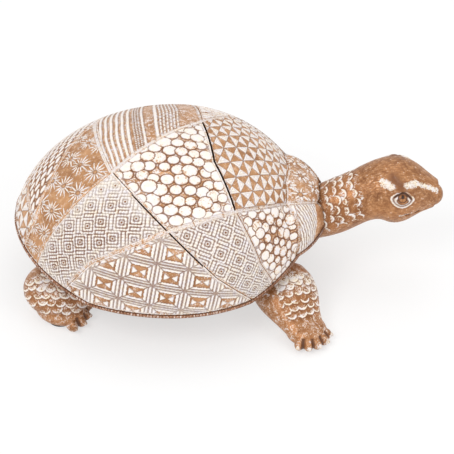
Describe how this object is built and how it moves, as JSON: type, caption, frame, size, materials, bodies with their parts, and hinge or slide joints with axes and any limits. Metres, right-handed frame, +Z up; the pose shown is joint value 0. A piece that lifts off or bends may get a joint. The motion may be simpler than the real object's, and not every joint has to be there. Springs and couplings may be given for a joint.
{
  "type": "turtle figurine",
  "caption": "Standing turtle ornament: a domed shell of carved patchwork panels on a rimmed core, neck and head, clawed legs and felt pads.",
  "frame": {"origin": "bottom centre of the whole figurine's box, on the surface that it stands on", "axes": "+X towards the head, +Y to the animal's left, +Z up"},
  "size_m": [0.2684, 0.1742, 0.1063],
  "materials": {
    "panel": "satin",
    "core": "satin",
    "trunk": "satin",
    "limb": "satin metallic copper",
    "felt": "felt",
    "plug": "matt"
  },
  "bodies": {
    "root": {"belly_plug": "plug", "foreleg_left": "limb", "foreleg_right": "limb", "hindleg_left": "limb", "hindleg_right": "limb", "neck_head": "limb", "pad_foreleg_left": "felt", "pad_foreleg_right": "felt", "pad_hindleg_left": "felt", "pad_hindleg_right": "felt", "panel_bows_left": "panel", "panel_bows_right": "panel", "panel_crinkle_left": "panel", "panel_flowers_rear": "panel", "panel_flowers_throat": "panel", "panel_fringe_left": "panel", "panel_fringe_right": "panel", "panel_leaves_rear": "panel", "panel_pebbles_crown": "panel", "panel_pebbles_left": "panel", "panel_pebbles_shoulder": "panel", "panel_pinwheels_front": "panel", "panel_squares_left": "panel", "panel_squares_right": "panel", "panel_squares_shoulder": "panel", "panel_stripes_back": "panel", "panel_triangles_tail": "panel", "shell_core": "core", "trunk": "trunk"}
  },
  "joints": []
}
